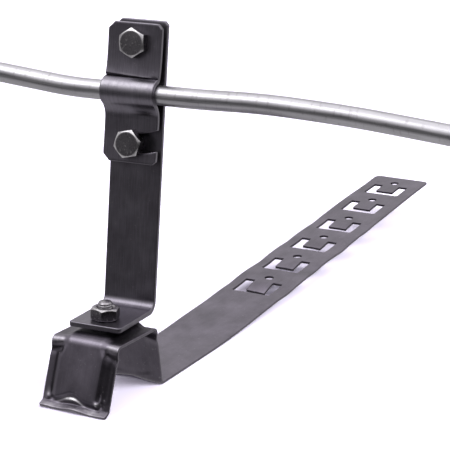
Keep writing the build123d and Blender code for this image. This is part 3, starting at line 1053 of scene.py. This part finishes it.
def dark_steel(
    name, dark, light, paler_metal, roughness, coordinate="UV", wear_and_highlight_amount=0.6, lined=0.35, specked=(0.66, 0.76)
):
    """Blackened rolled steel: cloudy tone, lines along the sheet, fine specks, paler scuffed edges and
    painted highlights, and painted shade.
    """
    material, nodes = new_material(name)
    solid = nodes.coordinates("Object")
    cloud = nodes.noise(nodes.coordinates(coordinate), 55.0, 4.0, 0.6)
    lines = nodes.noise(nodes.coordinates(coordinate, (1.0, 0.035, 1.0)), 2600.0, 2.0, 0.5)
    grain = nodes.noise(solid, 2400.0, 3.0, 0.7)
    specks = nodes.ramp(nodes.noise(solid, 1100.0, 2.0, 0.5), *specked)
    smudge = nodes.noise(nodes.coordinates(coordinate, (1.0, 0.6, 1.0)), 150.0, 4.0, 0.6)
    tone = nodes.blend(nodes.blend(cloud, smudge, 0.4), lines, lined)
    body = nodes.mix(nodes.ramp(tone, 0.36, 0.64), dark, light)
    wear_and_painted_light = nodes.add("ShaderNodeAttribute", {}, attribute_name="wear_and_painted_light").outputs["Fac"]
    # Painted shade: below zero the vertex value darkens the colour towards near-black, broken up by the
    # cloud.
    painted_shade = nodes.times(nodes.ramp(wear_and_painted_light, 0.0, -1.0), nodes.ramp(cloud, 0.3, 0.6, 0.6, 0.95))
    body = nodes.mix(painted_shade, body, (0.02, 0.018, 0.022))
    # Above zero the colour turns to the paler metal, for scuffed edges and painted highlights alike, and at
    # the specks.
    patchy = nodes.ramp(nodes.noise(solid, 420.0), 0.35, 0.7, 0.25, 1.0)
    wear_and_highlight_share = nodes.times(nodes.times(wear_and_painted_light, patchy), wear_and_highlight_amount)
    wear_and_highlight_share = nodes.math("MAXIMUM", wear_and_highlight_share, nodes.times(specks, 0.1 + 0.4 * wear_and_highlight_amount))
    nodes.shade({
        "Base Color": nodes.mix(wear_and_highlight_share, body, paler_metal),
        "Roughness": nodes.ramp(nodes.blend(cloud, grain, 0.5), 0.3, 0.7, *roughness),
        "Normal": nodes.bump(nodes.blend(lines, grain, 0.5), 0.22, 0.00004),
        "Metallic": 1.0,
    })
    return material


def drawn_steel(name):
    """The bar: bright drawn steel with fine lines along it and short scuffs."""
    material, nodes = new_material(name)
    lines = nodes.noise(nodes.coordinates("UV", (1.0, 0.02, 1.0)), 3200.0, 3.0, 0.6)
    cloud = nodes.noise(nodes.coordinates("UV", (1.0, 0.4, 1.0)), 70.0, 3.0, 0.6)
    scuff_noise = nodes.noise(nodes.coordinates("UV", (0.5, 1.6, 1.0)), 420.0, 2.0, 0.5)
    scuffs = nodes.ramp(scuff_noise, 0.58, 0.70)
    tone = nodes.blend(cloud, lines, 0.5)
    body = nodes.mix(nodes.ramp(tone, 0.3, 0.7), (0.29, 0.285, 0.305), (0.53, 0.525, 0.55))
    nodes.shade({
        "Base Color": nodes.mix(nodes.times(scuffs, 0.55), body, (0.26, 0.25, 0.26)),
        "Roughness": nodes.ramp(tone, 0.3, 0.7, 0.24, 0.42),
        "Normal": nodes.bump(nodes.plus(lines, nodes.times(scuffs, -0.6)), 0.3, 0.00003),
        "Metallic": 1.0,
    })
    return material


def floor_material():
    material, nodes = new_material("floor_paper")
    grain = nodes.noise(nodes.coordinates("Object"), 900.0)
    tone = nodes.mix(grain, (0.79, 0.745, 0.90), (0.81, 0.765, 0.92))
    nodes.shade({"Base Color": tone, "Roughness": 0.9, "Specular IOR Level": 0.0})
    return material


def backdrop_material():
    material, nodes = new_material("backdrop_paper")
    grain = nodes.noise(nodes.coordinates("Object"), 0.4, 2.0)
    glow = nodes.mix(grain, (0.99, 0.98, 1.0), (1.0, 1.0, 1.0))
    nodes.shade({"Emission Color": glow, "Emission Strength": 1.05})
    nodes.shade({"Base Color": (0.0, 0.0, 0.0), "Specular IOR Level": 0.0})
    return material


# ---------------------------------------------------------------- stage

def stage_piece(name, corners, faces, material):
    mesh = bpy.data.meshes.new(name)
    mesh.from_pydata(corners, [], faces)
    mesh.materials.append(material)
    piece = put_in_scene(name, mesh)
    piece.visible_glossy = False
    return piece


def add_floor():
    far = FLOOR_REACH
    corners = [(-far, -far, 0), (far, -far, 0), (far, far, 0), (-far, far, 0)]
    stage_piece("floor", corners, [(0, 1, 2, 3)], floor_material())


def add_backdrop():
    """A pale wall far round the floor, which only the camera sees."""
    count = BACKDROP_SIDES
    ring = circle_loop((0, 0), BACKDROP_RADIUS, count).tolist()
    corners = [(x, y, z) for z in (0.0, BACKDROP_HEIGHT) for x, y in ring]
    faces = [(i, (i + 1) % count, count + (i + 1) % count, count + i) for i in range(count)]
    wall = stage_piece("backdrop", corners, faces, backdrop_material())
    wall.visible_diffuse = False
    wall.visible_shadow = False


def look_matrix(place, look, roll):
    """A camera or light placement from a place and a looking direction."""
    look = Vector(look).normalized()
    right = look.cross(Vector((0, 0, 1))).normalized()
    up = right.cross(look)
    turned_right = right * math.cos(roll) + up * math.sin(roll)
    turned_up = up * math.cos(roll) - right * math.sin(roll)
    turn = Matrix((turned_right, turned_up, -look)).transposed().to_4x4()
    return Matrix.Translation(Vector(place)) @ turn


def add_camera(fold):
    azimuth, elevation, roll = map(math.radians, CAMERA_TURNS)
    level = math.cos(elevation)
    look = (math.sin(azimuth) * level, math.cos(azimuth) * level, -math.sin(elevation))
    data = bpy.data.cameras.new("camera")
    data.sensor_width = 36.0
    data.lens = CAMERA_LENS
    camera = put_in_scene("camera", data)
    camera.matrix_world = look_matrix(fold + Vector(CAMERA_PLACE), look, roll)
    bpy.context.scene.camera = camera


def add_key():
    """A softbox in front, to the left and above."""
    data = bpy.data.lights.new("key", "AREA")
    data.shape = "RECTANGLE"
    data.size, data.size_y = KEY_SIZE
    data.energy = KEY_POWER
    light = put_in_scene("key", data)
    light.matrix_world = look_matrix(KEY_PLACE, Vector(KEY_TARGET) - Vector(KEY_PLACE), 0.0)


def add_fill():
    """A wide soft light that the metal's reflections don't see, so that the paper stays white beside the
    part.
    """
    data = bpy.data.lights.new("fill", "SUN")
    data.energy = FILL_STRENGTH
    data.angle = math.radians(FILL_SPREAD)
    light = put_in_scene("fill", data)
    light.matrix_world = look_matrix(FILL_FROM, -Vector(FILL_FROM), 0.0)
    light.visible_glossy = False


def add_world():
    """A soft studio: bright above, paler behind and to the left, dark at the front and right."""
    world = bpy.data.worlds.new("studio")
    bpy.context.scene.world = world
    world.use_nodes = True
    nodes = Nodes(world.node_tree)
    direction = nodes.add("ShaderNodeTexCoord", {}).outputs["Generated"]
    x, y, z = nodes.add("ShaderNodeSeparateXYZ", {"Vector": direction}).outputs

    def span(source, low, high, start, end):
        return nodes.ramp(source, low, high, start, end, "SMOOTHSTEP")

    backward = nodes.plus(nodes.times(y, 0.8), nodes.times(x, -0.6))
    level = span(backward, -0.85, -0.45, WORLD_RIGHT, WORLD_FRONT)
    level = span(backward, -0.3, 0.6, level, WORLD_BACK)
    level = span(nodes.times(x, -1.0), 0.6, 0.85, level, WORLD_LEFT)
    overhead = span(backward, -0.45, 0.25, WORLD_ABOVE_FRONT, WORLD_ABOVE_BACK)
    above = span(z, 0.04, 0.66, level, overhead)
    above = span(z, 0.7, 0.9, above, WORLD_TOP)
    everywhere = span(nodes.times(z, -1.0), 0.36, 0.66, above, WORLD_BELOW)
    background = world.node_tree.nodes["Background"]
    nodes.feed(background, {"Strength": everywhere, "Color": (1.0, 0.98, 1.0)})


# ---------------------------------------------------------------- assembly

def finish_piece(piece, material, slot, body, *nodes):
    piece.data.materials.append(material)
    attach(piece, body)
    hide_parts(*nodes)


def build_pieces(joints):
    bracket, swivel, clamp = bracket_frame(), swivel_frame(joints), clamp_frame(joints)
    strip_steel = dark_steel(
        "strip_steel", (0.110, 0.100, 0.122), (0.200, 0.182, 0.220), (0.56, 0.55, 0.57), (0.30, 0.44),
        wear_and_highlight_amount=0.25, lined=0.12,
    )
    plate_steel = dark_steel(
        "plate_steel", (0.124, 0.115, 0.137), (0.210, 0.197, 0.230), (0.50, 0.49, 0.51), (0.28, 0.40),
        wear_and_highlight_amount=0.2,
    )
    fastener_steel = dark_steel(
        "fastener_steel", (0.12, 0.113, 0.125), (0.25, 0.238, 0.258), (0.78, 0.77, 0.78), (0.22, 0.38),
        "Object", 0.85, specked=(0.60, 0.72),
    )
    bar_steel = drawn_steel("bar_steel")

    finish_piece(base_bracket(bracket), strip_steel, "strip_steel", "bracket", "base_bracket")
    under_hat = swivel @ Matrix.Translation((0, 0, -SHEET)) @ Matrix.Rotation(math.pi, 4, "X")
    base_bolt = bolt_piece("base_bolt_piece", under_hat, BASE_BOLT_LENGTH, 0.0)
    finish_piece(base_bolt, fastener_steel, "fastener_steel", "bracket", "base_bolt")
    finish_piece(flat_washer(swivel), fastener_steel, "fastener_steel", "bracket", "swivel_washer")
    nut_seat = swivel @ Matrix.Translation((0, 0, WASHER_THICK + PLATE))
    base_nut = nut_piece("base_nut_piece", nut_seat, BASE_NUT_TURN)
    finish_piece(base_nut, fastener_steel, "fastener_steel", "base_nut", "base_nut")

    finish_piece(upright(swivel), plate_steel, "plate_steel", "upright", "upright")
    finish_piece(clamp_plate(clamp), plate_steel, "plate_steel", "clamp_plate", "clamp_plate")
    head_turns = {"upper": UPPER_HEAD_TURN, "lower": LOWER_HEAD_TURN}
    nut_turns = {"upper": 0.0, "lower": 20.0}
    for side, sign in (("upper", 1), ("lower", -1)):
        on_axis = clamp @ Matrix.Translation((0, sign * BOLT_PITCH / 2, 0))
        seat = on_axis @ Matrix.Translation((0, 0, CLAMP_GAP + PLATE))
        bolt = bolt_piece(f"{side}_bolt_piece", seat, CLAMP_BOLT_LENGTH, head_turns[side])
        finish_piece(bolt, fastener_steel, "fastener_steel", f"{side}_bolt", f"{side}_bolt")
        behind = on_axis @ Matrix.Translation((0, 0, -PLATE)) @ Matrix.Rotation(math.pi, 4, "X")
        washer = lock_washer(f"{side}_lock_washer_piece", behind)
        finish_piece(washer, fastener_steel, "fastener_steel", "upright", f"{side}_lock_washer")
        nut_place = behind @ Matrix.Translation((0, 0, WASHER_THICK))
        nut = nut_piece(f"{side}_nut_piece", nut_place, nut_turns[side])
        finish_piece(nut, fastener_steel, "fastener_steel", "upright", f"{side}_nut")

    middle = clamp @ Vector((0, 0, BAR_DIAMETER / 2 + BAR_FIT))
    level = swivel.to_3x3().normalized().to_4x4()
    bar_place = Matrix.Translation(middle) @ level @ Matrix.Scale(MM, 4)
    finish_piece(round_bar(bar_place), bar_steel, "bar_steel", "bar", "round_bar")
    return bracket.to_translation()


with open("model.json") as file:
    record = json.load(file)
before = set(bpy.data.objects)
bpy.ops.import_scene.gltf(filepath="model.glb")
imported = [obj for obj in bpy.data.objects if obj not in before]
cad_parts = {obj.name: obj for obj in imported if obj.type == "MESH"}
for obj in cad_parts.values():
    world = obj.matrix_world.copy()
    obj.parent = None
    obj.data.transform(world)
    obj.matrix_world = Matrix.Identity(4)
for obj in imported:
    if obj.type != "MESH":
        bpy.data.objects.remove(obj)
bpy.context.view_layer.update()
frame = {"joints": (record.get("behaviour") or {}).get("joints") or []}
all_joints = {joint["name"]: joint for joint in frame["joints"]}
fold_place = build_pieces(all_joints)
add_floor()
add_backdrop()
add_world()
add_key()
add_fill()
add_camera(fold_place)
bpy.context.scene.view_settings.view_transform = "Standard"
